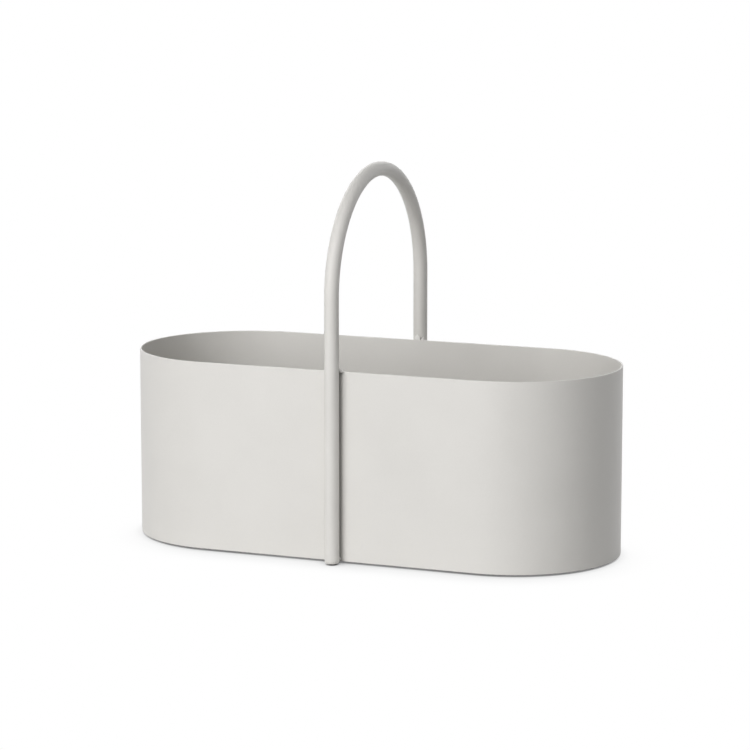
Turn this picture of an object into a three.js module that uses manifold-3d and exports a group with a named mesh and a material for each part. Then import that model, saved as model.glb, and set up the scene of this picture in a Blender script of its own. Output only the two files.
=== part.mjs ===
// A round-ended sheet-metal basket with a fixed tube handle.
// Millimetres. +X runs along the body to the right, +Y to the rear and +Z up. The origin is the middle of the
// footprint, on the surface that the basket stands on.

import * as THREE from "three";
import { mergeVertices } from "three/addons/utils/BufferGeometryUtils.js";
import Module from "manifold-3d";

const wasm = await Module();
wasm.setup();

// Body
const BODY_LENGTH = 350; // outside, end to end
const BODY_DEPTH = 150; // outside, front to rear: the diameter of the round ends
const WALL_HEIGHT = 130.5;
const WALL_THICKNESS = 1.2;
const FLOOR_GAP = 1.4; // from the standing surface up to the wall's lower edge
const SEAM_WIDTH = 2; // butt weld that closes the rolled wall
const BASE_THICKNESS = 1.2;
const BASE_RECESS = 4; // from the wall's lower edge up to the underside of the base plate

// Handle
const HANDLE_RISE = 134.5; // from the rim up to the top of the arch
const TUBE_DIAMETER = 10;
const TUBE_WALL = 1;
const LEG_LIFT = 0.8; // from the standing surface up to the end of a leg
const CAP_EDGE_RADIUS = 1.4;
const CAP_SPIGOT_LENGTH = 8;

// Welds
const RIM_WELD_WIDTH = 14; // along the rim
const RIM_WELD_DEPTH = 5; // across the rim
const RIM_WELD_RISE = 3.2; // above the rim
const RIM_WELD_DROP = 1.4; // below the rim, in the crevice beside the tube
const FOOT_WELD_WIDTH = 4;
const FOOT_WELD_DEPTH = 3;
const FOOT_WELD_HEIGHT = 3.6;
const STITCH_LENGTH = 20;
const STITCH_LEG = 3; // side of the fillet's section
const STITCH_BULGE = 0.65; // how far the fillet's face swells, as a share of its side
const STITCH_END_DISTANCE = 10; // from the end of a straight side to the nearest stitch on it
const END_STITCH_ANGLE = 40; // degrees from the tip of a round end

// Pads
const PAD_DIAMETER = 12;
const PAD_EDGE_RADIUS = 1;
const PAD_INSET = 25; // from the outside of the wall to the middle of a pad

// Clearance between pieces that are welded, pressed or glued together
const SEAT_GAP = 0.3;

// Facets
const ARC_DIVISIONS = 16; // each half circle of the body has twice as many sides
const TUBE_DIVISIONS = 8; // the tube has twice as many sides
const HANDLE_STEPS = 64;
const ROUND_SIDES = 24; // caps and pads
const EDGE_DIVISIONS = 4; // each rounded edge of a cap or pad has twice as many sides
const BEAD_SIDES = 20;
const BEAD_RINGS = 12;
const END_STITCH_STEPS = 4;

// Finishes
const COAT = { color: 0xdcdad6, roughness: 0.55, metalness: 0 };
const RUBBER = { color: 0x3b3b3a, roughness: 0.9, metalness: 0 };

// Places that follow from the sizes
const outerRadius = BODY_DEPTH / 2;
const innerRadius = outerRadius - WALL_THICKNESS;
const endCentre = (BODY_LENGTH - BODY_DEPTH) / 2;
const wallBottom = FLOOR_GAP;
const rim = wallBottom + WALL_HEIGHT;
const baseBottom = wallBottom + BASE_RECESS;
const tubeRadius = TUBE_DIAMETER / 2;
const boreRadius = tubeRadius - TUBE_WALL;
const legDistance = outerRadius + SEAT_GAP + tubeRadius; // from the middle of the body to a leg's axis
const tubeBottom = LEG_LIFT + CAP_EDGE_RADIUS + SEAT_GAP;
const archCentre = rim + HANDLE_RISE - tubeRadius - legDistance;

const basket = new THREE.Group();

// Adds a named mesh with a material of its own.
function addPiece(parent, name, geometry, finish) {
  const mesh = new THREE.Mesh(geometry, new THREE.MeshStandardMaterial(finish));
  mesh.name = name;
  parent.add(mesh);
  return mesh;
}

// Solid for cutting, from a closed geometry.
function toSolid(geometry) {
  const bare = geometry.clone();
  bare.deleteAttribute("normal");
  bare.deleteAttribute("uv");
  const merged = mergeVertices(bare);
  const mesh = new wasm.Mesh({
    numProp: 3,
    vertProperties: new Float32Array(merged.attributes.position.array),
    triVerts: new Uint32Array(merged.index.array),
  });
  return new wasm.Manifold(mesh);
}

// Geometry of a solid that has been cut.
function toGeometry(solid) {
  const mesh = solid.getMesh();
  const geometry = new THREE.BufferGeometry();
  geometry.setAttribute("position", new THREE.BufferAttribute(mesh.vertProperties, 3));
  geometry.setIndex(new THREE.BufferAttribute(mesh.triVerts, 1));
  geometry.computeVertexNormals();
  return geometry;
}

// Straight-sided plate or ring, standing on z = 0.
function upright(shape, height) {
  return new THREE.ExtrudeGeometry(shape, { depth: height, bevelEnabled: false, curveSegments: ARC_DIVISIONS });
}

// Body of revolution about +Z, from a closed profile of radius and height.
function turned(profile) {
  const geometry = new THREE.LatheGeometry(profile.getPoints(EDGE_DIVISIONS), ROUND_SIDES);
  return geometry.rotateX(Math.PI / 2);
}

// A plan curve lifted to one height.
class LevelCurve extends THREE.Curve {
  constructor(plan, height) {
    super();
    this.plan = plan;
    this.height = height;
  }

  getPoint(t, target = new THREE.Vector3()) {
    const point = this.plan.getPoint(t);
    return target.set(point.x, point.y, this.height);
  }
}

// The tube's middle line: up the front leg, over the half-round arch and down the rear leg.
class HandleCurve extends THREE.Curve {
  getPoint(t, target = new THREE.Vector3()) {
    const legLength = archCentre - tubeBottom;
    const archLength = Math.PI * legDistance;
    const along = t * (2 * legLength + archLength);
    if (along < legLength) {
      return target.set(0, -legDistance, tubeBottom + along);
    }
    const beyond = along - legLength;
    if (beyond < archLength) {
      const angle = beyond / legDistance;
      return target.set(0, -legDistance * Math.cos(angle), archCentre + legDistance * Math.sin(angle));
    }
    return target.set(0, legDistance, archCentre - (beyond - archLength));
  }
}

// The wall is one strip rolled into a long ring, open at the middle of the rear for the seam weld.
function wallShape() {
  const seamEdge = SEAM_WIDTH / 2 + SEAT_GAP;
  const quarter = Math.PI / 2;
  const shape = new THREE.Shape();
  shape.moveTo(-seamEdge, outerRadius);
  shape.lineTo(-endCentre, outerRadius);
  shape.absarc(-endCentre, 0, outerRadius, quarter, 3 * quarter, false);
  shape.lineTo(endCentre, -outerRadius);
  shape.absarc(endCentre, 0, outerRadius, -quarter, quarter, false);
  shape.lineTo(seamEdge, outerRadius);
  shape.lineTo(seamEdge, innerRadius);
  shape.lineTo(endCentre, innerRadius);
  shape.absarc(endCentre, 0, innerRadius, quarter, -quarter, true);
  shape.lineTo(-endCentre, -innerRadius);
  shape.absarc(-endCentre, 0, innerRadius, 3 * quarter, quarter, true);
  shape.lineTo(-seamEdge, innerRadius);
  shape.closePath();
  return shape;
}

// The base plate drops into the wall with the seat clearance all round.
function baseShape() {
  const radius = innerRadius - SEAT_GAP;
  const quarter = Math.PI / 2;
  const shape = new THREE.Shape();
  shape.moveTo(-endCentre, -radius);
  shape.lineTo(endCentre, -radius);
  shape.absarc(endCentre, 0, radius, -quarter, quarter, false);
  shape.lineTo(-endCentre, radius);
  shape.absarc(-endCentre, 0, radius, quarter, 3 * quarter, false);
  shape.closePath();
  return shape;
}

function addBody() {
  const wall = addPiece(basket, "wall_band", upright(wallShape(), WALL_HEIGHT), COAT);
  wall.position.z = wallBottom;

  const seamGeometry = new THREE.BoxGeometry(SEAM_WIDTH, WALL_THICKNESS, WALL_HEIGHT);
  const seam = addPiece(basket, "wall_seam_weld", seamGeometry, COAT);
  seam.position.set(0, (outerRadius + innerRadius) / 2, wallBottom + WALL_HEIGHT / 2);

  const base = addPiece(basket, "base_plate", upright(baseShape(), BASE_THICKNESS), COAT);
  base.position.z = baseBottom;
}

// Fillet stitch in the corner between the wall and the underside of the base plate. It follows a plan curve that
// runs anticlockwise, so its section has "down" as its first axis and "inwards" as its second.
function stitch(plan, steps) {
  const swell = STITCH_BULGE * STITCH_LEG;
  const section = new THREE.Shape();
  section.moveTo(0, 0);
  section.lineTo(STITCH_LEG, 0);
  section.lineTo(swell, swell);
  section.lineTo(0, STITCH_LEG);
  section.closePath();
  const path = new LevelCurve(plan, baseBottom - SEAT_GAP);
  return new THREE.ExtrudeGeometry(section, { steps, extrudePath: path, bevelEnabled: false });
}

function addBaseWelds() {
  const radius = innerRadius - SEAT_GAP;
  const outermost = endCentre - STITCH_END_DISTANCE - STITCH_LENGTH / 2;
  const columns = { left: -outermost, middle: 0, right: outermost };
  for (const [column, x] of Object.entries(columns)) {
    const low = x - STITCH_LENGTH / 2;
    const high = x + STITCH_LENGTH / 2;
    const front = new THREE.LineCurve(new THREE.Vector2(low, -radius), new THREE.Vector2(high, -radius));
    const rear = new THREE.LineCurve(new THREE.Vector2(high, radius), new THREE.Vector2(low, radius));
    addPiece(basket, `base_weld_front_${column}`, stitch(front, 1), COAT);
    addPiece(basket, `base_weld_rear_${column}`, stitch(rear, 1), COAT);
  }

  const halfSpan = STITCH_LENGTH / radius / 2;
  const turn = THREE.MathUtils.degToRad(END_STITCH_ANGLE);
  const ends = [
    { name: "right_front", x: endCentre, angle: -turn },
    { name: "right_rear", x: endCentre, angle: turn },
    { name: "left_rear", x: -endCentre, angle: Math.PI - turn },
    { name: "left_front", x: -endCentre, angle: Math.PI + turn },
  ];
  for (const end of ends) {
    const arc = new THREE.ArcCurve(end.x, 0, radius, end.angle - halfSpan, end.angle + halfSpan, false);
    addPiece(basket, `base_weld_${end.name}`, stitch(arc, END_STITCH_STEPS), COAT);
  }
}

function addHandleTube() {
  const section = new THREE.Shape();
  section.absarc(0, 0, tubeRadius, 0, 2 * Math.PI, false);
  const bore = new THREE.Path();
  bore.absarc(0, 0, boreRadius, 0, 2 * Math.PI, true);
  section.holes.push(bore);
  const geometry = new THREE.ExtrudeGeometry(section, {
    steps: HANDLE_STEPS,
    extrudePath: new HandleCurve(),
    bevelEnabled: false,
    curveSegments: TUBE_DIVISIONS,
  });
  addPiece(basket, "handle_tube", geometry, COAT);
}

// Plug that closes a leg: a rounded end as wide as the tube, and a spigot in its bore.
function capGeometry() {
  const spigotRadius = boreRadius - SEAT_GAP;
  const profile = new THREE.Path();
  profile.moveTo(0, 0);
  profile.lineTo(tubeRadius - CAP_EDGE_RADIUS, 0);
  profile.absarc(tubeRadius - CAP_EDGE_RADIUS, CAP_EDGE_RADIUS, CAP_EDGE_RADIUS, -Math.PI / 2, 0, false);
  profile.lineTo(spigotRadius, CAP_EDGE_RADIUS);
  profile.lineTo(spigotRadius, CAP_EDGE_RADIUS + CAP_SPIGOT_LENGTH);
  profile.lineTo(0, CAP_EDGE_RADIUS + CAP_SPIGOT_LENGTH);
  return turned(profile);
}

// Space that a leg and the wall behind it keep clear of weld metal, as seen from the front leg.
function legAndWall() {
  const legHeight = archCentre;
  const leg = new THREE.CylinderGeometry(tubeRadius + SEAT_GAP, tubeRadius + SEAT_GAP, legHeight, 4 * TUBE_DIVISIONS);
  leg.rotateX(Math.PI / 2);
  leg.translate(0, -legDistance, legHeight / 2);
  const wallDepth = WALL_THICKNESS + 2 * SEAT_GAP;
  const wall = new THREE.BoxGeometry(BODY_LENGTH, wallDepth, WALL_HEIGHT + 2 * SEAT_GAP);
  wall.translate(0, -(outerRadius + innerRadius) / 2, wallBottom + WALL_HEIGHT / 2);
  return toSolid(leg).add(toSolid(wall));
}

// A weld bead is an ellipsoid cut back by what it lies against.
function bead(width, depth, height, x, y, z, neighbours) {
  const ball = new THREE.SphereGeometry(0.5, BEAD_SIDES, BEAD_RINGS);
  ball.scale(width, depth, height);
  ball.translate(x, y, z);
  return toGeometry(toSolid(ball).subtract(neighbours));
}

// Everything at the foot and rim of one leg. It is drawn for the front leg, and half a turn makes the rear one.
function addLeg(side, facing) {
  const leg = new THREE.Group();
  leg.rotation.z = facing > 0 ? 0 : Math.PI;
  basket.add(leg);

  const cap = addPiece(leg, `${side}_leg_cap`, capGeometry(), COAT);
  cap.position.set(0, -legDistance, LEG_LIFT);

  const neighbours = legAndWall();
  const contact = outerRadius + SEAT_GAP / 2;
  const rimHeight = RIM_WELD_RISE + RIM_WELD_DROP;
  const rimMiddle = rim + (RIM_WELD_RISE - RIM_WELD_DROP) / 2;
  const rimBead = bead(RIM_WELD_WIDTH, RIM_WELD_DEPTH, rimHeight, 0, -contact, rimMiddle, neighbours);
  addPiece(leg, `${side}_rim_weld`, rimBead, COAT);

  // The foot welds lie where the crevice between tube and wall is half as wide as they are deep.
  const inward = tubeRadius + SEAT_GAP - FOOT_WELD_DEPTH / 2;
  const crevice = Math.sqrt(tubeRadius ** 2 - inward ** 2);
  const footMiddle = wallBottom + FOOT_WELD_HEIGHT / 2;
  for (const [hand, sign] of [["left", -1], ["right", 1]]) {
    const x = sign * facing * crevice;
    const y = -outerRadius - FOOT_WELD_DEPTH / 4;
    const foot = bead(FOOT_WELD_WIDTH, FOOT_WELD_DEPTH, FOOT_WELD_HEIGHT, x, y, footMiddle, neighbours);
    addPiece(leg, `${side}_foot_weld_${hand}`, foot, COAT);
  }
}

// Round pad, glued under the base plate, that the basket stands on.
function padGeometry() {
  const radius = PAD_DIAMETER / 2;
  const height = baseBottom - SEAT_GAP;
  const profile = new THREE.Path();
  profile.moveTo(0, 0);
  profile.lineTo(radius - PAD_EDGE_RADIUS, 0);
  profile.absarc(radius - PAD_EDGE_RADIUS, PAD_EDGE_RADIUS, PAD_EDGE_RADIUS, -Math.PI / 2, 0, false);
  profile.lineTo(radius, height);
  profile.lineTo(0, height);
  return turned(profile);
}

function addPads() {
  const padY = outerRadius - PAD_INSET;
  for (const [row, y] of [["front", -padY], ["rear", padY]]) {
    for (const [column, x] of [["left", -endCentre], ["right", endCentre]]) {
      const pad = addPiece(basket, `foot_pad_${row}_${column}`, padGeometry(), RUBBER);
      pad.position.set(x, y, 0);
    }
  }
}

addBody();
addBaseWelds();
addHandleTube();
addLeg("front", 1);
addLeg("rear", -1);
addPads();

export default basket;
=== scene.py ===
"""A round-ended sheet-metal basket with a fixed tube handle: its surfaces, its finishes and a studio.

Metres, +Z up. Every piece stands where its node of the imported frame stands, and takes its main sizes from it.
"""

import math

import bmesh
import bpy
import numpy as np
from bpy.props import FloatProperty, FloatVectorProperty, PointerProperty
from bpy.types import Operator, Panel, PropertyGroup
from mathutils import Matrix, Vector


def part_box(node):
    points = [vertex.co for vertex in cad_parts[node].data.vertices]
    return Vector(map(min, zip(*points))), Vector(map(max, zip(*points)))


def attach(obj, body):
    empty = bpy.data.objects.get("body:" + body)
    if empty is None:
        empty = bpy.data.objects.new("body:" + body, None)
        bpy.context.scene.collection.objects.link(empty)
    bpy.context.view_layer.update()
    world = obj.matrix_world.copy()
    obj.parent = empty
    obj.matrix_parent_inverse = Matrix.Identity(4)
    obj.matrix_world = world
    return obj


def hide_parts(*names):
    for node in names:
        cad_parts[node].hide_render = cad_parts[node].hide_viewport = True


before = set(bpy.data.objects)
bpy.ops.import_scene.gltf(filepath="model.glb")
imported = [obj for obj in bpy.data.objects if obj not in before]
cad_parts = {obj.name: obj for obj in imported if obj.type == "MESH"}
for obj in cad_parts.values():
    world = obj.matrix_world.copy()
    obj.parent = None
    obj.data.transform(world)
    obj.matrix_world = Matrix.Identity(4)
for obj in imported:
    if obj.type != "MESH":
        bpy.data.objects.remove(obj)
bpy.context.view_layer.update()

bl_info = {
    "name": "Round-ended basket",
    "version": (1, 0, 0),
    "blender": (4, 5, 0),
    "location": "3D View > Sidebar > Basket",
    "description": "Builds a coated sheet-metal basket with a tube handle, and a studio round it",
    "category": "Add Mesh",
}

MM = 0.001

# Places taken from the frame
WALL_LOW, WALL_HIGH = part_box("wall_band")
BASE_LOW, BASE_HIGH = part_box("base_plate")
TUBE_LOW, TUBE_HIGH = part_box("handle_tube")
BODY_RADIUS = WALL_HIGH.y
END_CENTRE = WALL_HIGH.x - BODY_RADIUS
RIM = WALL_HIGH.z
TUBE_RADIUS = TUBE_HIGH.x
LEG_DISTANCE = TUBE_HIGH.y - TUBE_RADIUS
ARCH_CENTRE = TUBE_HIGH.z - TUBE_RADIUS - LEG_DISTANCE

# Which way each leg faces along Y, and each hand along X
LEG_SIDES = {"front": -1.0, "rear": 1.0}
HANDS = {"left": -1.0, "right": 1.0}

# Distance of the extra points that keep the bend of the shading inside a rounded edge
WALL_SUPPORT = 0.1 * MM
BASE_SUPPORT = 0.3 * MM
CAP_SUPPORT = 0.2 * MM
PAD_SUPPORT = 0.15 * MM

# Place of the tube's third ring, counted in chamfers from its end
TUBE_END_RING = 4

# Room round a leg cap's spigot and under the tube's end, and the bevel at the top of a pad
SPIGOT_GAP = 0.05 * MM
SHOULDER_GAP = 0.04 * MM
PAD_BEVEL = 0.2 * MM

# Lobes of the two hand-laid rim welds, in millimetres: place along the rim, height, and reach to either side
RIM_WELD_LOBES = {
    "front": ((-3.1, 2.1, 4.0), (0.0, 3.2, 4.4), (2.8, 2.1, 3.4), (4.6, 0.9, 2.6)),
    "rear": ((-0.9, 3.3, 2.1), (0.4, 3.5, 2.1), (2.0, 0.5, 3.4), (3.9, 2.3, 1.2)),
}

# How far the crest of each leans towards the tube, as a share of half the weld's width
RIM_WELD_LEAN = {"front": 0.0, "rear": 0.6}

# Powers that blend a rim weld's lobes, blend its width into the crevice, and close its ends
LOBE_BLEND = 4
CREVICE_BLEND = 6
RIM_WELD_CLOSING = 8

# The seam: height of its ripples as a share of its own, depth as a share of the sheet, and the power that
# closes its ends
SEAM_RIPPLE = 0.18
SEAM_DEPTH = 0.25
SEAM_CLOSING = 40

# Height of the ripples on the foot welds, as a share of their size
FOOT_RIPPLE = 0.07

# The stitches: height of their ripples as a share of their side, power of their section, and the power that
# closes their ends
STITCH_RIPPLE = 0.06
STITCH_POWER = 1.25
STITCH_CLOSING = 8

# Share of the paler colour on the edges of the sheets, partly a thin film and partly painted highlight
EDGE_PALENESS = 0.4

# Coats: how much each roughens the grain, and the largest share of the painted crevice shade
COATS = {"coat_on_sheet": (0.0, 1.0), "coat_on_cap": (0.0, 0.2), "coat_on_weld": (0.5, 1.0)}

# Detail of each noise, and the middle part of any noise
MOTTLE_DETAIL = 3.0
PEEL_DETAIL = 1.0
GRAIN_DETAIL = 2.0
BLOOM_DETAIL = 4.0
NOISE_MIDDLE = (0.3, 0.7)

# Shares of grain and peel in the coat's tone, the range of the tone, and the grain's share in the bump
TONE_GRAIN = 0.6
TONE_PEEL = 0.25
TONE_RANGE = (0.7, 1.15)
BUMP_GRAIN = 0.22

# Ranges of the paler film's strength, of the open sky from a deep crevice to none for the painted shade, and of
# the roughness
FILM_RANGE = (0.45, 1.0)
CREVICE_SHADE_RANGE = (0.3, 0.65)
ROUGHNESS_SPREAD = 0.06
RUBBER_ROUGHNESS = (0.72, 0.9)

# Samples of each occlusion node
OCCLUSION_SAMPLES = 8

# The mix node's sockets for colours
MIX_FIRST = 6
MIX_SECOND = 7
MIX_RESULT = 2

# Places of the lamps: degrees to the right of the front, degrees above the horizon, and side in metres
LAMPS = {
    "key": (-15.0, 38.0, 2.2),
    "low": (-15.0, 10.0, 1.6),
    "high": (30.0, 50.0, 1.6),
    "rear_left": (-150.0, 12.0, 3.0),
    "rear_right": (150.0, 12.0, 3.0),
}

# The point that the lamps face, and their distance from it
BASKET_MIDDLE = (0.0, 0.0, 0.12)
LAMP_DISTANCE = 3.0

# The floor's corners: distance from the middle, and degrees round it
FLOOR_REACH = 60.0
FLOOR_CORNERS = (-90.0, 30.0, 150.0)

# The camera: the point that it looks at, its sensor in millimetres, and how near and far it sees
CAMERA_TARGET = (-1.825 * MM, 0.0, 117.73 * MM)
SENSOR_WIDTH = 36.0
CLIP_START = 0.05
CLIP_END = 100.0

# Grid densities
ARC_STEPS = 96
STRAIGHT_STEPS = 32
CORNER_STEPS = 6
BASE_RINGS = 6
ARCH_STEPS = 120
TUBE_SIDES = 48
TURNED_SIDES = 48
BEAD_STATIONS = 56
BEAD_SIDES = 28
SEAM_STATIONS = 336
RIM_WELD_STATIONS = 96
RIM_WELD_SIDES = 48

# Points nearer than this are merged
MERGE_DISTANCE = 1e-8


def length(name, description, millimetres):
    """A size in metres that shows in the panel with the scene's units."""
    return FloatProperty(name=name, description=description, default=millimetres * MM, min=0.0, unit="LENGTH",
                         precision=5)


def factor(name, description, value):
    """A share from 0 to 1."""
    return FloatProperty(name=name, description=description, default=value, min=0.0, max=1.0,
                         subtype="FACTOR")


def degrees(name, description, value):
    """An angle, written in degrees and kept in radians."""
    return FloatProperty(name=name, description=description, default=math.radians(value), subtype="ANGLE",
                         unit="ROTATION")


def watts(name, description, value):
    """Power of a lamp."""
    return FloatProperty(name=name, description=description, default=value, min=0.0, unit="POWER")


def colour(name, description, value):
    """A colour in scene-linear numbers."""
    return FloatVectorProperty(name=name, description=description, default=value, size=3, subtype="COLOR",
                               min=0.0, max=1.0)


class BasketSizes(PropertyGroup):
    """Sizes that the frame's boxes don't give."""

    sheet: length("Sheet", "Thickness of the rolled wall", 1.2)
    sheet_edge: length("Sheet edge", "Rounding of the wall's edges under the coat", 0.45)
    base_edge: length("Base edge", "Rounding of the base plate's edge", 0.3)
    base_gap: length("Base gap", "Fine line left between the base plate and the wall", 0.06)
    tube_wall: length("Tube wall", "Thickness of the handle's tube", 1.0)
    tube_edge: length("Tube edge", "Chamfer on the tube's cut ends", 0.08)
    cap_edge: length("Cap edge", "Rounding of a leg's closed end", 1.4)
    rim_weld_out: length("Rim weld width", "How far a rim weld runs over the crevice outside the sheet", 2.0)
    rim_weld_in: length("Rim weld lip", "How far a rim weld hangs over the inside of the sheet", 0.12)
    rim_weld_drop: length("Rim weld drop", "How far a rim weld runs down into the crevice", 0.6)
    ripple_height: factor("Ripple height", "Height of a rim weld's ripples, as a share of its own", 0.06)
    foot_weld_half_width: length("Foot weld half width", "Half the width of the welds at a leg's foot", 1.15)
    foot_weld_half_depth: length("Foot weld half depth", "Half the depth of the welds at a leg's foot", 0.9)
    stitch_leg: length("Stitch side", "Side of the fillet welds under the base plate", 3.0)
    ripple_pitch: length("Ripple pitch", "Distance between the ripples of a weld", 1.9)
    seam_width: length("Seam width", "Width of the butt weld that closes the wall", 2.6)
    seam_height: length("Seam height", "How far the butt weld stands proud of the wall", 0.14)
    pad_edge: length("Pad edge", "Rounding of a pad's lower edge", 1.0)


class BasketFinish(PropertyGroup):
    """Colours and surface grain."""

    coat: colour("Coat", "Powder coat on all the metal", (0.735, 0.720, 0.690))
    coat_shade: colour("Coat shade", "Darker end of the coat's faint mottle", (0.705, 0.690, 0.660))
    # Paler colour: partly coat thinned over sheet edges, and painted highlight on the tops of the rim welds
    coat_edge_and_highlight: colour("Coat edge and highlight", "Paler coat, thinned over edges, and painted highlight on weld tops", (0.850, 0.838, 0.812))
    # Painted shade: a dark coat colour laid into crevices by occlusion, standing in for the shade there
    crevice_shade: colour("Painted crevice shade", "Colour painted into crevices as shade", (0.330, 0.322, 0.305))
    crevice_shade_reach: length("Crevice reach", "How near another surface must be for the painted crevice shade", 5.0)
    coat_roughness: factor("Coat roughness", "Middle roughness of the coat", 0.45)
    coat_gloss: factor("Coat gloss", "Specular level of the coat", 0.5)
    mottle_size: length("Mottle size", "Width of the patches of the coat's mottle", 45.0)
    peel_size: length("Peel size", "Width of the orange-peel waves in the coat", 1.6)
    peel_height: length("Peel height", "Height of those waves", 0.012)
    grain_size: length("Grain size", "Width of the coat's fine grain", 0.35)
    rubber: colour("Rubber", "Moulded pads", (0.046, 0.046, 0.044))
    rubber_bloom: colour("Rubber bloom", "Paler bloom on the pads", (0.085, 0.084, 0.080))
    bloom_size: length("Bloom size", "Width of the patches of bloom", 3.0)
    rubber_grain_size: length("Rubber grain size", "Width of the pads' fine grain", 0.3)
    rubber_grain_height: length("Rubber grain height", "Height of that grain", 0.02)


class BasketStudio(PropertyGroup):
    """Camera, floor and light."""

    floor: colour("Floor", "Colour of the floor in the light that it throws back", (0.86, 0.86, 0.86))
    # Painted shadow on the floor: occlusion darkens its seen white, apart from the lamps' own shadows
    contact_reach: length("Contact reach", "How far the dark line under the wall spreads", 10.0)
    contact_depth: factor("Contact depth", "What that line takes from the white", 0.92)
    shadow_reach: length("Shadow reach", "How far the soft shadow spreads over the floor", 34.0)
    shadow_depth: factor("Shadow depth", "What the soft shadow takes from the white", 0.45)
    shadow_turn: degrees("Shadow turn", "Where the soft shadow falls, to the right of the front", 22.5)
    shadow_lean: degrees("Shadow lean", "How far the soft shadow leans to that side", 45.0)
    shadow_power: FloatProperty(name="Shadow power", description="How fast both fade", default=2.5, min=1.0)
    ambient: FloatProperty(name="Ambient", description="Strength of the even light", default=0.05, min=0.0)
    key: watts("Key", "Power of the large front light", 36.2)
    low: watts("Low", "Power of the low front light", 35.7)
    high: watts("High", "Power of the high light at the right", 12.9)
    rear_left: watts("Rear left", "Power of the light behind, at the left", 42.0)
    rear_right: watts("Rear right", "Power of the light behind, at the right", 22.0)
    azimuth: degrees("Azimuth", "Camera's turn to the right of the front", 22.543)
    elevation: degrees("Elevation", "Camera's height above the horizon", 9.422)
    distance: length("Distance", "From the camera to the point that it looks at", 2204.2)
    lens: FloatProperty(name="Lens", description="Focal length in millimetres", default=152.27, unit="CAMERA")


# Surfaces


def quads(rows, columns, close_rows=False, close_columns=True):
    """Faces of a grid of points: each joins a point to the next one along its row and to the row after."""
    row = np.arange(rows if close_rows else rows - 1)[:, None]
    column = np.arange(columns if close_columns else columns - 1)[None, :]
    next_row = (row + 1) % rows
    next_column = (column + 1) % columns
    corners = [row * columns + column, row * columns + next_column,
               next_row * columns + next_column, next_row * columns + column]
    return np.stack(np.broadcast_arrays(*corners), axis=-1).reshape(-1, 4)


def body_stations():
    """Runs anticlockwise round the body: points of its spine, and the direction outwards at each.

    The spine is the straight line between the centres of the round ends. A point at a distance d from it is
    spine + d * direction, so every offset of the outline keeps its straight sides and round ends.
    """
    turn = np.linspace(-0.5, 0.5, ARC_STEPS + 1) * np.pi
    along = np.linspace(-END_CENTRE, END_CENTRE, STRAIGHT_STEPS + 1)[1:-1]
    end = np.full_like(turn, END_CENTRE)
    quarter = np.full_like(along, np.pi / 2)
    spine_x = np.concatenate([end, along[::-1], -end, along])
    angle = np.concatenate([turn, quarter, turn + np.pi, -quarter])
    spine = np.stack([spine_x, np.zeros_like(spine_x)], axis=-1)
    return spine, np.stack([np.cos(angle), np.sin(angle)], axis=-1)


def carried_round(section):
    """Carries a section of (distance, height) points round the body: spine + distance * direction."""
    spine, direction = body_stations()
    distance, height = section.T
    plan = spine[:, None, :] + direction[:, None, :] * distance[None, :, None]
    level = np.broadcast_to(height[None, :, None], plan.shape[:2] + (1,))
    return np.concatenate([plan, level], axis=-1)


def rounded_section(low, high, radius, support):
    """Rectangle between two corners, with each corner a quarter circle and a point just before and after it.

    The extra points keep the bend of the shading inside the corner, so the flat sides stay flat.
    """
    centre = np.array([[high[0] - radius, high[1] - radius], [low[0] + radius, high[1] - radius],
                       [low[0] + radius, low[1] + radius], [high[0] - radius, low[1] + radius]])
    start = np.arange(4) * np.pi / 2
    angle = start[:, None] + np.linspace(0, np.pi / 2, CORNER_STEPS + 1)[None, :]
    ring = centre[:, None, :] + radius * np.stack([np.cos(angle), np.sin(angle)], axis=-1)
    tangent = np.stack([-np.sin(start), np.cos(start)], axis=-1)[:, None, :]
    leaving = np.stack([-np.cos(start), -np.sin(start)], axis=-1)[:, None, :]
    before = ring[:, :1] - support * tangent
    after = ring[:, -1:] + support * leaving
    return np.concatenate([before, ring, after], axis=1).reshape(-1, 2)


def quarter_round(centre, radius, first, last):
    """Arc about a centre from one angle to another, in radians."""
    angle = np.linspace(first, last, CORNER_STEPS + 1)
    return np.stack([centre[0] + radius * np.cos(angle), centre[1] + radius * np.sin(angle)], axis=-1)


def turned(profile, centre):
    """Turns a profile of (radius, height) points about an upright axis through a centre."""
    angle = np.linspace(0, 2 * np.pi, TURNED_SIDES, endpoint=False)
    radius, height = profile.T
    x = centre[0] + np.cos(angle)[:, None] * radius[None, :]
    y = centre[1] + np.sin(angle)[:, None] * radius[None, :]
    z = np.broadcast_to(height[None, :], x.shape)
    return np.stack([x, y, z], axis=-1)


def handle_line(along):
    """Middle line of the tube, by distance from the front end: straight up, half a circle, straight down.

    The angle of the arch is held at 0 on the front leg and at half a turn on the rear one, and the rise of
    the legs is held while the arch turns. Also gives the direction away from the arch's centre.
    """
    leg = ARCH_CENTRE - TUBE_LOW.z
    arch = np.pi * LEG_DISTANCE
    angle = np.clip((along - leg) / LEG_DISTANCE, 0, np.pi)
    rise = np.minimum(along, leg) - np.maximum(along - leg - arch, 0)
    away = np.stack([np.zeros_like(angle), -np.cos(angle), np.sin(angle)], axis=-1)
    foot = np.stack([np.zeros_like(rise), np.zeros_like(rise), TUBE_LOW.z + rise], axis=-1)
    return foot + LEG_DISTANCE * away, away


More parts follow.
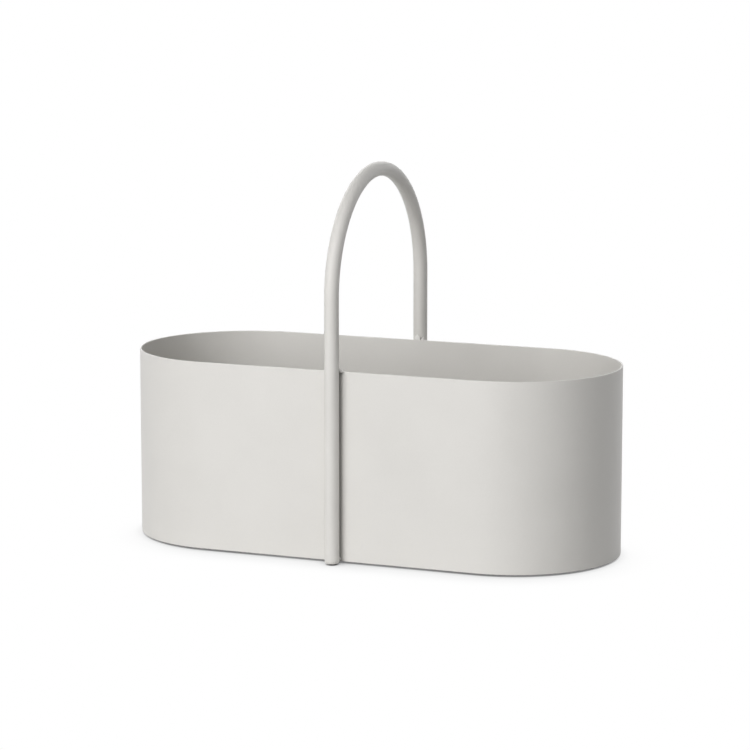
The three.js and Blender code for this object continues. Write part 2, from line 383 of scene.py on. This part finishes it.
def add_piece(name, points, faces, nodes, material, edge=None):
    """Makes one closed mesh of a grid, shades it smooth, and lets it stand for its frame nodes.

    Points that fall together, at poles and along a folded line, are merged. Then the faces are turned
    outwards.
    """
    mesh = bpy.data.meshes.new(name)
    mesh.from_pydata(points.reshape(-1, 3).tolist(), [], faces.tolist())
    paler_mask = mesh.attributes.new("edge", "FLOAT", "POINT")
    values = np.zeros(points.shape[:-1]) if edge is None else np.broadcast_to(edge, points.shape[:-1])
    paler_mask.data.foreach_set("value", values.astype(np.float32).ravel())
    shell = bmesh.new()
    shell.from_mesh(mesh)
    bmesh.ops.remove_doubles(shell, verts=shell.verts, dist=MERGE_DISTANCE)
    bmesh.ops.recalc_face_normals(shell, faces=shell.faces)
    shell.to_mesh(mesh)
    shell.free()
    mesh.shade_smooth()
    mesh.materials.append(material)
    piece = bpy.data.objects.new(name, mesh)
    bpy.context.scene.collection.objects.link(piece)
    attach(piece, "root")
    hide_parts(*nodes)


# Finishes


def add_node(tree, kind, **values):
    """Adds a shader node, and sets its inputs by name and its other values by attribute."""
    node = tree.nodes.new(kind)
    for name, value in values.items():
        label = name.replace("_", " ").title()
        if label in node.inputs:
            node.inputs[label].default_value = value
        else:
            setattr(node, name, value)
    return node


def add_noise(tree, coordinates, width, detail):
    """Noise whose lumps are about as wide as given."""
    node = add_node(tree, "ShaderNodeTexNoise", scale=1.0 / width, detail=detail)
    tree.links.new(coordinates, node.inputs["Vector"])
    return node.outputs["Fac"]


def add_range(tree, value, low, high, source=NOISE_MIDDLE):
    """Stretches a range of a value, the middle of a noise unless one is given, to that from low to high."""
    node = add_node(tree, "ShaderNodeMapRange")
    tree.links.new(value, node.inputs["Value"])
    node.inputs["From Min"].default_value = source[0]
    node.inputs["From Max"].default_value = source[1]
    node.inputs["To Min"].default_value = low
    node.inputs["To Max"].default_value = high
    return node.outputs["Result"]


def add_mix(tree, share, first, second):
    """Mix of two colours, with a share of the second. Each colour is a value or a socket."""
    node = add_node(tree, "ShaderNodeMix", data_type="RGBA")
    tree.links.new(share, node.inputs["Factor"])
    for socket, source in ((node.inputs[MIX_FIRST], first), (node.inputs[MIX_SECOND], second)):
        if isinstance(source, bpy.types.NodeSocket):
            tree.links.new(source, socket)
        else:
            socket.default_value = (*source, 1.0)
    return node.outputs[MIX_RESULT]


def add_sum(tree, first, second, share):
    """first + share * second."""
    node = add_node(tree, "ShaderNodeMath", operation="MULTIPLY_ADD")
    tree.links.new(second, node.inputs[0])
    node.inputs[1].default_value = share
    tree.links.new(first, node.inputs[2])
    return node.outputs["Value"]


def add_bump(tree, height, distance):
    """Bump of a height that runs from 0 to 1, over a real distance."""
    node = add_node(tree, "ShaderNodeBump", strength=1.0, distance=distance)
    tree.links.new(height, node.inputs["Height"])
    return node.outputs["Normal"]


def new_material(name):
    """Empty material, with its shader and the piece's own coordinates."""
    material = bpy.data.materials.new(name)
    material.use_nodes = True
    tree = material.node_tree
    shader = tree.nodes["Principled BSDF"]
    coordinates = tree.nodes.new("ShaderNodeTexCoord").outputs["Object"]
    return material, tree, shader, coordinates


def coat_material(name):
    """Powder coat: faint mottle, fine grain, orange peel, a paler film over edges with painted highlight,
    painted shade in crevices.

    The tone is mottle + TONE_GRAIN * grain + TONE_PEEL * peel, and moves the colour and the roughness. The
    height of the bump is peel + (BUMP_GRAIN + pitting) * grain.
    """
    found = bpy.data.materials.get(name)
    if found:
        return found
    pitting, deepest_shade = COATS[name]
    finish = bpy.context.scene.basket_finish
    material, tree, shader, coordinates = new_material(name)
    mottle = add_noise(tree, coordinates, finish.mottle_size, MOTTLE_DETAIL)
    peel = add_noise(tree, coordinates, finish.peel_size, PEEL_DETAIL)
    grain = add_noise(tree, coordinates, finish.grain_size, GRAIN_DETAIL)
    tone = add_sum(tree, add_sum(tree, mottle, grain, TONE_GRAIN), peel, TONE_PEEL)
    base = add_mix(tree, add_range(tree, tone, 0.0, 1.0, TONE_RANGE), finish.coat_shade, finish.coat)
    # The paler colour, by the mesh's edge attribute: partly thinned coat on sheet edges, painted highlight on
    # weld tops
    paler_mask = add_node(tree, "ShaderNodeAttribute", attribute_name="edge").outputs["Fac"]
    paler_share = add_node(tree, "ShaderNodeMath", operation="MULTIPLY")
    tree.links.new(paler_mask, paler_share.inputs[0])
    tree.links.new(add_range(tree, grain, *FILM_RANGE), paler_share.inputs[1])
    paled_coat = add_mix(tree, paler_share.outputs["Value"], base, finish.coat_edge_and_highlight)
    # Painted shade: where other surfaces within the reach hide the sky, the colour turns towards the crevice
    # shade
    sky = add_node(tree, "ShaderNodeAmbientOcclusion", distance=finish.crevice_shade_reach,
                   samples=OCCLUSION_SAMPLES)
    deep = add_range(tree, sky.outputs["AO"], deepest_shade, 0.0, CREVICE_SHADE_RANGE)
    tree.links.new(add_mix(tree, deep, paled_coat, finish.crevice_shade), shader.inputs["Base Color"])
    shader.inputs["Specular IOR Level"].default_value = finish.coat_gloss
    smooth = finish.coat_roughness - ROUGHNESS_SPREAD
    rough = finish.coat_roughness + ROUGHNESS_SPREAD
    tree.links.new(add_range(tree, tone, smooth, rough, TONE_RANGE), shader.inputs["Roughness"])
    height = add_sum(tree, peel, grain, BUMP_GRAIN + pitting)
    tree.links.new(add_bump(tree, height, finish.peel_height), shader.inputs["Normal"])
    return material


def rubber_material():
    """Moulded rubber: near black, with a paler bloom in patches and a fine matt grain."""
    found = bpy.data.materials.get("moulded_rubber")
    if found:
        return found
    finish = bpy.context.scene.basket_finish
    material, tree, shader, coordinates = new_material("moulded_rubber")
    bloom = add_noise(tree, coordinates, finish.bloom_size, BLOOM_DETAIL)
    grain = add_noise(tree, coordinates, finish.rubber_grain_size, GRAIN_DETAIL)
    base = add_mix(tree, add_range(tree, bloom, 0.0, 1.0), finish.rubber, finish.rubber_bloom)
    tree.links.new(base, shader.inputs["Base Color"])
    tree.links.new(add_range(tree, bloom, *RUBBER_ROUGHNESS), shader.inputs["Roughness"])
    tree.links.new(add_bump(tree, grain, finish.rubber_grain_height), shader.inputs["Normal"])
    return material


# Pieces


class PieceOperator:
    """What every piece's operator shares."""

    bl_options = {"REGISTER", "UNDO"}

    @property
    def sizes(self):
        """The sizes that are kept on the scene."""
        return bpy.context.scene.basket_sizes


class BASKET_OT_wall(PieceOperator, Operator):
    """Add the rolled wall: the sheet's section, with rounded edges, carried round the body"""

    bl_idname = "basket.add_wall"
    bl_label = "Wall"

    def execute(self, context):
        sizes = self.sizes
        low = (BODY_RADIUS - sizes.sheet, WALL_LOW.z)
        high = (BODY_RADIUS, RIM)
        section = rounded_section(low, high, sizes.sheet_edge, WALL_SUPPORT)
        points = carried_round(section)
        rim_distance = np.minimum(RIM - section[:, 1], section[:, 1] - WALL_LOW.z)
        edge = EDGE_PALENESS * np.clip(1.0 - rim_distance / sizes.sheet_edge, 0, 1)
        faces = quads(*points.shape[:2], close_rows=True)
        coat = coat_material("coat_on_sheet")
        add_piece("wall_band_skin", points, faces, ["wall_band"], coat, edge[None, :])
        return {"FINISHED"}


class BASKET_OT_seam(PieceOperator, Operator):
    """Add the butt weld behind the rear leg: a low rippled bead up the outside of the wall"""

    bl_idname = "basket.add_seam"
    bl_label = "Seam weld"

    def execute(self, context):
        sizes = self.sizes
        height = np.linspace(WALL_LOW.z + sizes.sheet_edge, RIM - sizes.sheet_edge, SEAM_STATIONS)
        middle = (height[0] + height[-1]) / 2
        reach = (height[-1] - height[0]) / 2
        taper = np.sqrt(np.clip(1.0 - np.abs((height - middle) / reach) ** SEAM_CLOSING, 0, None))
        ripple = 1.0 + SEAM_RIPPLE * np.cos(2 * np.pi * height / sizes.ripple_pitch)
        angle = np.linspace(0, 2 * np.pi, BEAD_SIDES, endpoint=False)
        out = np.where(np.sin(angle) > 0, sizes.seam_height, sizes.sheet * SEAM_DEPTH) * np.sin(angle)
        x = np.cos(angle)[None, :] * (sizes.seam_width / 2 * taper)[:, None]
        y = BODY_RADIUS + out[None, :] * (ripple * taper)[:, None]
        z = np.broadcast_to(height[:, None], x.shape)
        points = np.stack([x, y, z], axis=-1)
        coat = coat_material("coat_on_weld")
        add_piece("wall_seam_weld_skin", points, quads(*x.shape), ["wall_seam_weld"], coat)
        return {"FINISHED"}


class BASKET_OT_base(PieceOperator, Operator):
    """Add the base plate: a section from the body's spine over a rounded edge and back, carried round it"""

    bl_idname = "basket.add_base"
    bl_label = "Base plate"

    def execute(self, context):
        sizes = self.sizes
        outer = BODY_RADIUS - sizes.sheet - sizes.base_gap
        radius = sizes.base_edge
        inner = outer - radius
        across = np.linspace(0, inner - BASE_SUPPORT, BASE_RINGS)
        top = np.stack([across, np.full_like(across, BASE_HIGH.z)], axis=-1)
        bottom = np.stack([across[::-1], np.full_like(across, BASE_LOW.z)], axis=-1)
        upper = quarter_round((inner, BASE_HIGH.z - radius), radius, np.pi / 2, 0)
        lower = quarter_round((inner, BASE_LOW.z + radius), radius, 0, -np.pi / 2)
        section = np.concatenate([top, upper, lower, bottom])
        points = carried_round(section)
        edge = EDGE_PALENESS * np.clip((section[:, 0] - inner) / radius, 0, 1)
        faces = quads(*points.shape[:2], close_rows=True, close_columns=False)
        coat = coat_material("coat_on_sheet")
        add_piece("base_plate_skin", points, faces, ["base_plate"], coat, edge[None, :])
        return {"FINISHED"}


class BASKET_OT_handle(PieceOperator, Operator):
    """Add the bent tube: a circle carried up one leg, over the arch and down, and back along the bore"""

    bl_idname = "basket.add_handle"
    bl_label = "Handle tube"

    def execute(self, context):
        sizes = self.sizes
        leg = ARCH_CENTRE - TUBE_LOW.z
        arch = np.linspace(leg, leg + np.pi * LEG_DISTANCE, ARCH_STEPS + 1)
        total = leg + arch[-1]
        start = np.array([0.0, sizes.tube_edge, TUBE_END_RING * sizes.tube_edge])
        along = np.concatenate([start, arch, total - start[::-1]])
        radius = np.full_like(along, TUBE_RADIUS)
        radius[[0, -1]] -= sizes.tube_edge
        bore = np.full_like(along, TUBE_RADIUS - sizes.tube_wall)
        along = np.concatenate([along, along[::-1]])
        radius = np.concatenate([radius, bore])
        middle, away = handle_line(along)
        angle = np.linspace(0, 2 * np.pi, TUBE_SIDES, endpoint=False)
        across = np.array([1.0, 0.0, 0.0])
        ring = np.cos(angle)[None, :, None] * across + np.sin(angle)[None, :, None] * away[:, None, :]
        points = middle[:, None, :] + radius[:, None, None] * ring
        faces = quads(*points.shape[:2], close_rows=True)
        coat = coat_material("coat_on_sheet")
        add_piece("handle_tube_skin", points, faces, ["handle_tube"], coat)
        return {"FINISHED"}


class BASKET_OT_leg_caps(PieceOperator, Operator):
    """Add the rounded plugs that close the tube's ends: a profile turned about each leg"""

    bl_idname = "basket.add_leg_caps"
    bl_label = "Leg caps"

    def execute(self, context):
        sizes = self.sizes
        for side, facing in LEG_SIDES.items():
            node = f"{side}_leg_cap"
            low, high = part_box(node)
            flat = TUBE_RADIUS - sizes.cap_edge
            spigot = TUBE_RADIUS - sizes.tube_wall - SPIGOT_GAP
            shoulder = TUBE_LOW.z - SHOULDER_GAP
            rounded = quarter_round((flat, low.z + sizes.cap_edge), sizes.cap_edge, -np.pi / 2, 0)
            profile = np.concatenate([
                [(0.0, low.z), (flat / 2, low.z), (flat - CAP_SUPPORT, low.z)],
                rounded,
                [(TUBE_RADIUS, shoulder - sizes.tube_edge), (TUBE_RADIUS - sizes.tube_edge, shoulder)],
                [(spigot, shoulder), (spigot, high.z), (0.0, high.z)],
            ])
            points = turned(profile, (0.0, facing * LEG_DISTANCE))
            faces = quads(*points.shape[:2], close_rows=True, close_columns=False)
            add_piece(f"{node}_skin", points, faces, [node], coat_material("coat_on_cap"))
        return {"FINISHED"}


class BASKET_OT_rim_welds(PieceOperator, Operator):
    """Add the hand-laid welds between the rim and the legs: lumpy fillets that slope down from the tube"""

    bl_idname = "basket.add_rim_welds"
    bl_label = "Rim welds"

    def execute(self, context):
        for side, facing in LEG_SIDES.items():
            self.add_fillet(side, facing)
        return {"FINISHED"}

    def add_fillet(self, side, facing):
        """One fillet, as a closed section carried along the rim.

        Across the rim it runs from the sheet's inner face to the middle of the tube's own wall, or a little
        over the crevice where the tube curves away. The section is half an ellipse above the rim, as high as
        the lobes, and a shallow half below it. Each lobe is height * (1 - (distance / reach) ^ 2). With p for
        LOBE_BLEND, the top is the p-th root of the sum of the lobes' p-th powers, times the ripples.
        """
        sizes = self.sizes
        place, height, reach = np.array(RIM_WELD_LOBES[side]).T * MM
        x = np.linspace(np.min(place - reach), np.max(place + reach), RIM_WELD_STATIONS)
        lobes = height * np.clip(1 - ((x[:, None] - place) / reach) ** 2, 0, None)
        ripple = 1 + sizes.ripple_height * np.cos(2 * np.pi * x / sizes.ripple_pitch)
        top = np.sum(lobes ** LOBE_BLEND, axis=1) ** (1 / LOBE_BLEND) * ripple
        closing = np.sqrt(np.clip(1 - np.abs(np.linspace(-1, 1, x.size)) ** RIM_WELD_CLOSING, 0, None))
        axis = LEG_DISTANCE - BODY_RADIUS
        contact = axis - np.sqrt(np.clip(TUBE_RADIUS ** 2 - x ** 2, 0, None)) + sizes.tube_wall / 2
        narrow = contact ** -CREVICE_BLEND + sizes.rim_weld_out ** -CREVICE_BLEND
        outer = narrow ** (-1 / CREVICE_BLEND)
        inner = -sizes.sheet - sizes.rim_weld_in
        middle = (outer + inner) / 2 * closing - sizes.sheet / 2 * (1 - closing)
        half = (outer - inner) / 2 * closing
        angle = np.linspace(0, 2 * np.pi, RIM_WELD_SIDES, endpoint=False)
        rise = np.clip(np.sin(angle), 0, None)
        drop = np.clip(-np.sin(angle), 0, None)
        out = middle[:, None] + half[:, None] * (np.cos(angle) + RIM_WELD_LEAN[side] * rise)
        z = RIM + top[:, None] * rise - (sizes.rim_weld_drop * closing)[:, None] * drop
        points = np.stack([np.broadcast_to(x[:, None], z.shape), facing * (BODY_RADIUS + out), z], axis=-1)
        node = f"{side}_rim_weld"
        coat = coat_material("coat_on_weld")
        # Painted highlight: the upper half of the weld's section takes the paler colour, most at its crest
        add_piece(f"{node}_skin", points, quads(*z.shape), [node], coat, rise[None, :])


class BASKET_OT_foot_welds(PieceOperator, Operator):
    """Add the welds in the crevices at the foot of each leg: upright rippled beads"""

    bl_idname = "basket.add_foot_welds"
    bl_label = "Foot welds"

    def execute(self, context):
        sizes = self.sizes
        share = np.linspace(-1, 1, BEAD_STATIONS)
        angle = np.linspace(0, 2 * np.pi, BEAD_SIDES, endpoint=False)
        for side in LEG_SIDES:
            for hand, sign in HANDS.items():
                node = f"{side}_foot_weld_{hand}"
                low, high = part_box(node)
                middle = (low + high) / 2
                height = middle.z + share * (high.z - low.z) / 2
                closing = np.sqrt(np.clip(1 - share ** 2, 0, None))
                ripple = 1 + FOOT_RIPPLE * np.cos(2 * np.pi * height / sizes.ripple_pitch + sign)
                half_width = sizes.foot_weld_half_width * closing * ripple
                half_depth = sizes.foot_weld_half_depth * closing * ripple
                x = middle.x + np.cos(angle)[None, :] * half_width[:, None]
                y = middle.y + np.sin(angle)[None, :] * half_depth[:, None]
                z = np.broadcast_to(height[:, None], x.shape)
                points = np.stack([x, y, z], axis=-1)
                coat = coat_material("coat_on_weld")
                add_piece(f"{node}_skin", points, quads(*x.shape), [node], coat)
        return {"FINISHED"}


class BASKET_OT_base_welds(PieceOperator, Operator):
    """Add the stitch welds under the base plate: a rippled fillet along the corner of wall and plate"""

    bl_idname = "basket.add_base_welds"
    bl_label = "Base welds"

    def execute(self, context):
        for node in sorted(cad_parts):
            if node.startswith("base_weld_"):
                self.add_stitch(node)
        return {"FINISHED"}

    def add_stitch(self, node):
        """One fillet, with a quarter of a superellipse for its section.

        Its side swells with the ripples and tapers to nothing at both ends.
        """
        sizes = self.sizes
        corner = BODY_RADIUS - sizes.sheet
        spine_x, direction, along = self.run(node, corner)
        reach = along[-1]
        taper = np.sqrt(np.clip(1 - np.abs(along / reach) ** STITCH_CLOSING, 0, None))
        ripple = 1 - STITCH_RIPPLE + STITCH_RIPPLE * np.cos(2 * np.pi * along / sizes.ripple_pitch)
        side = sizes.stitch_leg * taper * ripple
        angle = np.linspace(0, np.pi / 2, BEAD_SIDES // 2)
        inwards = np.concatenate([[0.0], np.cos(angle) ** STITCH_POWER])
        downwards = np.concatenate([[0.0], np.sin(angle) ** STITCH_POWER])
        distance = corner - inwards[None, :] * side[:, None]
        plan = np.stack([spine_x, np.zeros_like(spine_x)], axis=-1)[:, None, :]
        plan = plan + direction[:, None, :] * distance[:, :, None]
        level = BASE_LOW.z - downwards[None, :] * side[:, None]
        points = np.concatenate([plan, level[:, :, None]], axis=-1)
        coat = coat_material("coat_on_weld")
        add_piece(f"{node}_skin", points, quads(*level.shape), [node], coat)

    def run(self, node, corner):
        """Stations of a stitch: spine point, direction outwards, and distance from its middle."""
        low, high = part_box(node)
        middle = (low + high) / 2
        straight_low, straight_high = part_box("base_weld_front_middle")
        reach = (straight_high.x - straight_low.x) / 2
        along = np.linspace(-reach, reach, BEAD_STATIONS)
        if abs(middle.x) < END_CENTRE:
            angle = np.full_like(along, math.copysign(math.pi / 2, middle.y))
            spine_x = middle.x + along
        else:
            spine_x = np.full_like(along, math.copysign(END_CENTRE, middle.x))
            angle = math.atan2(middle.y, middle.x - spine_x[0]) + along / corner
        return spine_x, np.stack([np.cos(angle), np.sin(angle)], axis=-1), along


class BASKET_OT_pads(PieceOperator, Operator):
    """Add the rubber pads under the base plate: a profile with a rounded lower edge, turned about each pad"""

    bl_idname = "basket.add_pads"
    bl_label = "Pads"

    def execute(self, context):
        sizes = self.sizes
        for node in sorted(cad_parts):
            if not node.startswith("foot_pad_"):
                continue
            low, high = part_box(node)
            middle = (low + high) / 2
            radius = (high.x - low.x) / 2
            flat = radius - sizes.pad_edge
            rounded = quarter_round((flat, low.z + sizes.pad_edge), sizes.pad_edge, -np.pi / 2, 0)
            profile = np.concatenate([
                [(0.0, low.z), (flat / 2, low.z), (flat - PAD_SUPPORT, low.z)],
                rounded,
                [(radius, high.z - PAD_BEVEL), (radius - PAD_BEVEL, BASE_LOW.z), (0.0, BASE_LOW.z)],
            ])
            points = turned(profile, (middle.x, middle.y))
            faces = quads(*points.shape[:2], close_rows=True, close_columns=False)
            add_piece(f"{node}_skin", points, faces, [node], rubber_material())
        return {"FINISHED"}


# Studio


def direction_to(turn, rise):
    """Direction away from the basket, by radians to the right of the front and radians above the horizon."""
    return Vector((math.sin(turn) * math.cos(rise), -math.cos(turn) * math.cos(rise), math.sin(rise)))


def add_hidden_sky(tree, studio, reach, lean):
    """Share of the sky that the basket hides from a point of the floor, within a reach, raised to a power.

    The sky is the half sphere about a direction that leans from upright, away from where the shadow falls.
    """
    x, y, z = direction_to(studio.shadow_turn + math.pi, math.pi / 2 - lean)
    middle = add_node(tree, "ShaderNodeCombineXYZ", x=x, y=y, z=z)
    sky = add_node(tree, "ShaderNodeAmbientOcclusion", distance=reach, samples=OCCLUSION_SAMPLES)
    tree.links.new(middle.outputs["Vector"], sky.inputs["Normal"])
    hidden = add_node(tree, "ShaderNodeMath", operation="SUBTRACT")
    hidden.inputs[0].default_value = 1.0
    tree.links.new(sky.outputs["AO"], hidden.inputs[1])
    deep = add_node(tree, "ShaderNodeMath", operation="POWER")
    tree.links.new(hidden.outputs["Value"], deep.inputs[0])
    deep.inputs[1].default_value = studio.shadow_power
    return deep.outputs["Value"]


def add_floor(studio):
    """Pale floor. What is seen of it is white where it is open, with a painted shadow under and beside the
    basket.

    Two shares of hidden sky, each times its depth, are taken from the white: an upright one within a short
    reach for a painted contact shadow under the wall, and one that leans, within a longer reach, for a painted
    soft shadow in front. The floor is one triangle, because the leaning one would show an edge between two.
    """
    angle = np.radians(FLOOR_CORNERS)
    corners = FLOOR_REACH * np.stack([np.cos(angle), np.sin(angle), np.zeros_like(angle)], axis=-1)
    mesh = bpy.data.meshes.new("floor")
    mesh.from_pydata(corners.tolist(), [], [(0, 1, 2)])
    material = bpy.data.materials.new("floor")
    material.use_nodes = True
    tree = material.node_tree
    tree.nodes.remove(tree.nodes["Principled BSDF"])
    lit = add_node(tree, "ShaderNodeBsdfDiffuse", color=(*studio.floor, 1.0))
    seen = add_node(tree, "ShaderNodeEmission")
    contact = add_hidden_sky(tree, studio, studio.contact_reach, 0.0)
    shadow = add_hidden_sky(tree, studio, studio.shadow_reach, studio.shadow_lean)
    # Painted shadow: the hidden sky darkens the white that the camera sees
    white = add_node(tree, "ShaderNodeMath", operation="MULTIPLY_ADD")
    tree.links.new(contact, white.inputs[0])
    white.inputs[1].default_value = -studio.contact_depth
    white.inputs[2].default_value = 1.0
    shaded = add_sum(tree, white.outputs["Value"], shadow, -studio.shadow_depth)
    tree.links.new(shaded, seen.inputs["Strength"])
    either = tree.nodes.new("ShaderNodeMixShader")
    tree.links.new(seen_directly(tree), either.inputs["Fac"])
    tree.links.new(lit.outputs["BSDF"], either.inputs[1])
    tree.links.new(seen.outputs["Emission"], either.inputs[2])
    tree.links.new(either.outputs["Shader"], tree.nodes["Material Output"].inputs["Surface"])
    mesh.materials.append(material)
    floor = bpy.data.objects.new("floor", mesh)
    bpy.context.scene.collection.objects.link(floor)


def seen_directly(tree):
    """1 for rays from the camera and those that a reflection or a clear material sends on, 0 for others."""
    path = tree.nodes.new("ShaderNodeLightPath")
    either = add_node(tree, "ShaderNodeMath", operation="MAXIMUM")
    tree.links.new(path.outputs["Is Camera Ray"], either.inputs[0])
    tree.links.new(path.outputs["Is Glossy Ray"], either.inputs[1])
    any_of = add_node(tree, "ShaderNodeMath", operation="MAXIMUM")
    tree.links.new(either.outputs["Value"], any_of.inputs[0])
    tree.links.new(path.outputs["Is Transmission Ray"], any_of.inputs[1])
    return any_of.outputs["Value"]


def set_world(studio):
    """White where it is seen, and a weak even light for the rest."""
    world = bpy.data.worlds.new("studio")
    world.use_nodes = True
    tree = world.node_tree
    background = tree.nodes["Background"]
    background.inputs["Color"].default_value = (1.0, 1.0, 1.0, 1.0)
    strength = add_node(tree, "ShaderNodeMapRange")
    strength.inputs["To Min"].default_value = studio.ambient
    strength.inputs["To Max"].default_value = 1.0
    tree.links.new(seen_directly(tree), strength.inputs["Value"])
    tree.links.new(strength.outputs["Result"], background.inputs["Strength"])
    bpy.context.scene.world = world


def add_aimed(name, data, place, target):
    """Object at a place, turned so that its -Z axis faces a target."""
    holder = bpy.data.objects.new(name, data)
    holder.location = place
    holder.rotation_euler = (Vector(target) - place).to_track_quat("-Z", "Y").to_euler()
    bpy.context.scene.collection.objects.link(holder)
    return holder


def add_lamp(name, energy):
    """Square soft light at its place in LAMPS, turned to the basket."""
    azimuth, elevation, side = LAMPS[name]
    lamp = bpy.data.lights.new(name, "AREA")
    lamp.shape = "SQUARE"
    lamp.size = side
    lamp.energy = energy
    away = direction_to(math.radians(azimuth), math.radians(elevation))
    add_aimed(name, lamp, Vector(BASKET_MIDDLE) + LAMP_DISTANCE * away, BASKET_MIDDLE)


def add_camera(studio):
    """Camera at the photograph's viewing angle."""
    camera = bpy.data.cameras.new("camera")
    camera.sensor_width = SENSOR_WIDTH
    camera.lens = studio.lens
    camera.clip_start = CLIP_START
    camera.clip_end = CLIP_END
    away = direction_to(studio.azimuth, studio.elevation)
    place = Vector(CAMERA_TARGET) + studio.distance * away
    bpy.context.scene.camera = add_aimed("camera", camera, place, CAMERA_TARGET)


class BASKET_OT_studio(Operator):
    """Add the floor, the light and the camera"""

    bl_idname = "basket.add_studio"
    bl_label = "Studio"
    bl_options = {"REGISTER", "UNDO"}

    def execute(self, context):
        studio = context.scene.basket_studio
        add_camera(studio)
        add_floor(studio)
        set_world(studio)
        for name in LAMPS:
            add_lamp(name, getattr(studio, name))
        context.scene.view_settings.view_transform = "Standard"
        return {"FINISHED"}


class BASKET_PT_panel(Panel):
    """A button for each operator, and then all the settings."""

    bl_idname = "BASKET_PT_panel"
    bl_label = "Basket"
    bl_space_type = "VIEW_3D"
    bl_region_type = "UI"
    bl_category = "Basket"

    def draw(self, context):
        column = self.layout.column(align=True)
        for operator in OPERATORS:
            column.operator(operator.bl_idname)
        for group in GROUPS:
            settings = getattr(context.scene, GROUPS[group])
            box = self.layout.box()
            for name in group.__annotations__:
                box.prop(settings, name)


GROUPS = {BasketSizes: "basket_sizes", BasketFinish: "basket_finish", BasketStudio: "basket_studio"}
OPERATORS = (
    BASKET_OT_studio,
    BASKET_OT_wall,
    BASKET_OT_seam,
    BASKET_OT_base,
    BASKET_OT_handle,
    BASKET_OT_leg_caps,
    BASKET_OT_rim_welds,
    BASKET_OT_foot_welds,
    BASKET_OT_base_welds,
    BASKET_OT_pads,
)


def register():
    """Registers the classes, and keeps the settings on the scene."""
    for group, name in GROUPS.items():
        bpy.utils.register_class(group)
        setattr(bpy.types.Scene, name, PointerProperty(type=group))
    for operator in OPERATORS:
        bpy.utils.register_class(operator)
    bpy.utils.register_class(BASKET_PT_panel)


def unregister():
    """Undoes register."""
    bpy.utils.unregister_class(BASKET_PT_panel)
    for operator in reversed(OPERATORS):
        bpy.utils.unregister_class(operator)
    for group, name in reversed(GROUPS.items()):
        delattr(bpy.types.Scene, name)
        bpy.utils.unregister_class(group)


def main():
    """Builds everything in order."""
    register()
    for operator in OPERATORS:
        group, name = operator.bl_idname.split(".")
        getattr(getattr(bpy.ops, group), name)()


if __name__ == "__main__":
    main()
